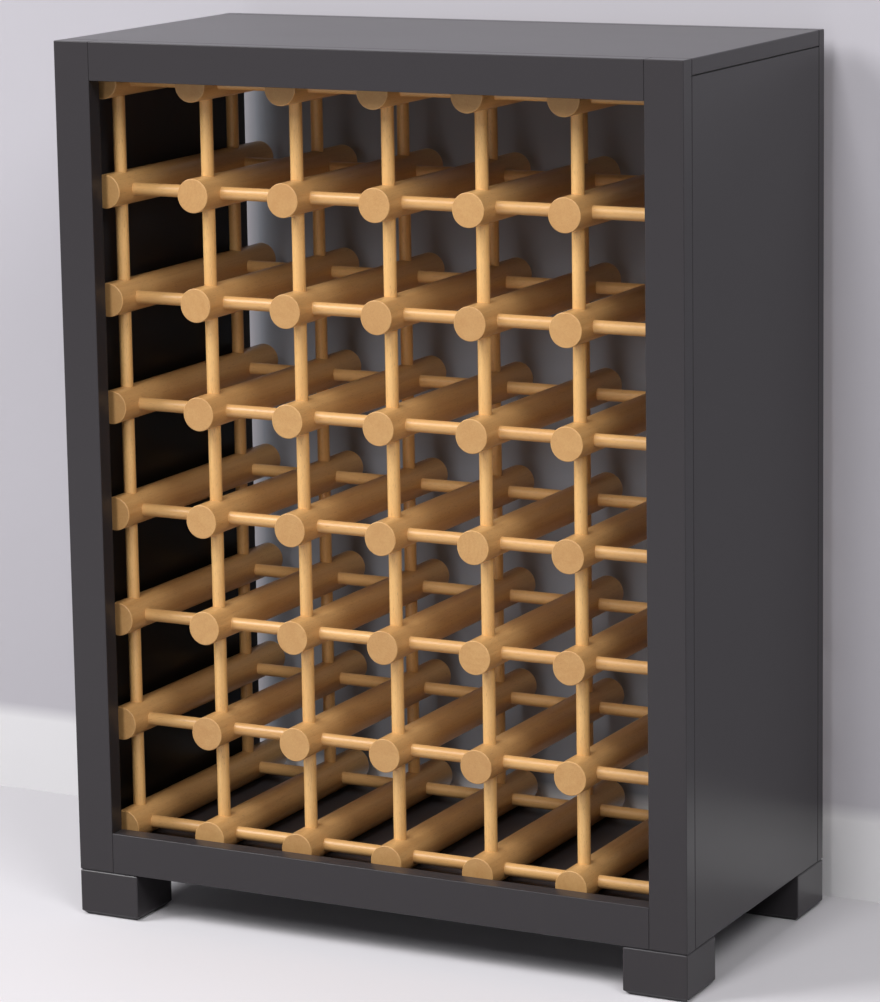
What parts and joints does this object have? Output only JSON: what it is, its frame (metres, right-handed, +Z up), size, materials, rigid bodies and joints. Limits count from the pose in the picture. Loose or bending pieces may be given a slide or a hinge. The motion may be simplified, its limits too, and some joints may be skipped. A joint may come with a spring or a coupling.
{
  "type": "open wine cabinet with a dowel bottle rack",
  "caption": "Tall open wine cabinet: a painted box on block feet around a natural wood dowel lattice that holds bottles lying down.",
  "frame": {"origin": "on the floor under the middle of the cabinet", "axes": "+Z up, the open front faces -Y, +X is to the right as seen from the front"},
  "size_m": [0.632, 0.322, 0.8363],
  "materials": {
    "charcoal_paint": "satin charcoal paint",
    "rack_wood": "clear satin lacquer on pale honey wood",
    "screw_steel": "zinc plated"
  },
  "bodies": {
    "root": {"top_panel": "charcoal_paint", "bottom_panel": "charcoal_paint", "side_panel_left": "charcoal_paint", "side_panel_right": "charcoal_paint", "front_stile_left": "charcoal_paint", "front_stile_right": "charcoal_paint", "front_rail_top": "charcoal_paint", "front_rail_bottom": "charcoal_paint", "back_edging_left": "charcoal_paint", "back_edging_right": "charcoal_paint", "back_edging_top": "charcoal_paint", "back_edging_bottom": "charcoal_paint", "foot_front_left": "charcoal_paint", "foot_front_right": "charcoal_paint", "foot_back_left": "charcoal_paint", "foot_back_right": "charcoal_paint", "foot_screw_front_left": "screw_steel", "foot_screw_front_right": "screw_steel", "foot_screw_back_left": "screw_steel", "foot_screw_back_right": "screw_steel", "top_pin_left_front": "rack_wood", "bottom_pin_left_front": "rack_wood", "top_pin_left_back": "rack_wood", "bottom_pin_left_back": "rack_wood", "top_pin_right_front": "rack_wood", "bottom_pin_right_front": "rack_wood", "top_pin_right_back": "rack_wood", "bottom_pin_right_back": "rack_wood", "dowel_tier_1_left": "rack_wood", "dowel_tier_1_right": "rack_wood", "dowel_tier_2_left": "rack_wood", "dowel_tier_2_right": "rack_wood", "dowel_tier_3_left": "rack_wood", "dowel_tier_3_right": "rack_wood", "dowel_tier_4_left": "rack_wood", "dowel_tier_4_right": "rack_wood", "dowel_tier_5_left": "rack_wood", "dowel_tier_5_right": "rack_wood", "dowel_tier_6_left": "rack_wood", "dowel_tier_6_right": "rack_wood", "dowel_tier_7_left": "rack_wood", "dowel_tier_7_right": "rack_wood", "dowel_tier_8_left": "rack_wood", "dowel_tier_8_right": "rack_wood", "upright_rod_front_1": "rack_wood", "upright_rod_front_2": "rack_wood", "upright_rod_front_3": "rack_wood", "upright_rod_front_4": "rack_wood", "upright_rod_front_5": "rack_wood", "upright_rod_front_6": "rack_wood", "upright_rod_front_7": "rack_wood", "upright_rod_back_1": "rack_wood", "upright_rod_back_2": "rack_wood", "upright_rod_back_3": "rack_wood", "upright_rod_back_4": "rack_wood", "upright_rod_back_5": "rack_wood", "upright_rod_back_6": "rack_wood", "upright_rod_back_7": "rack_wood"}
  },
  "joints": []
}
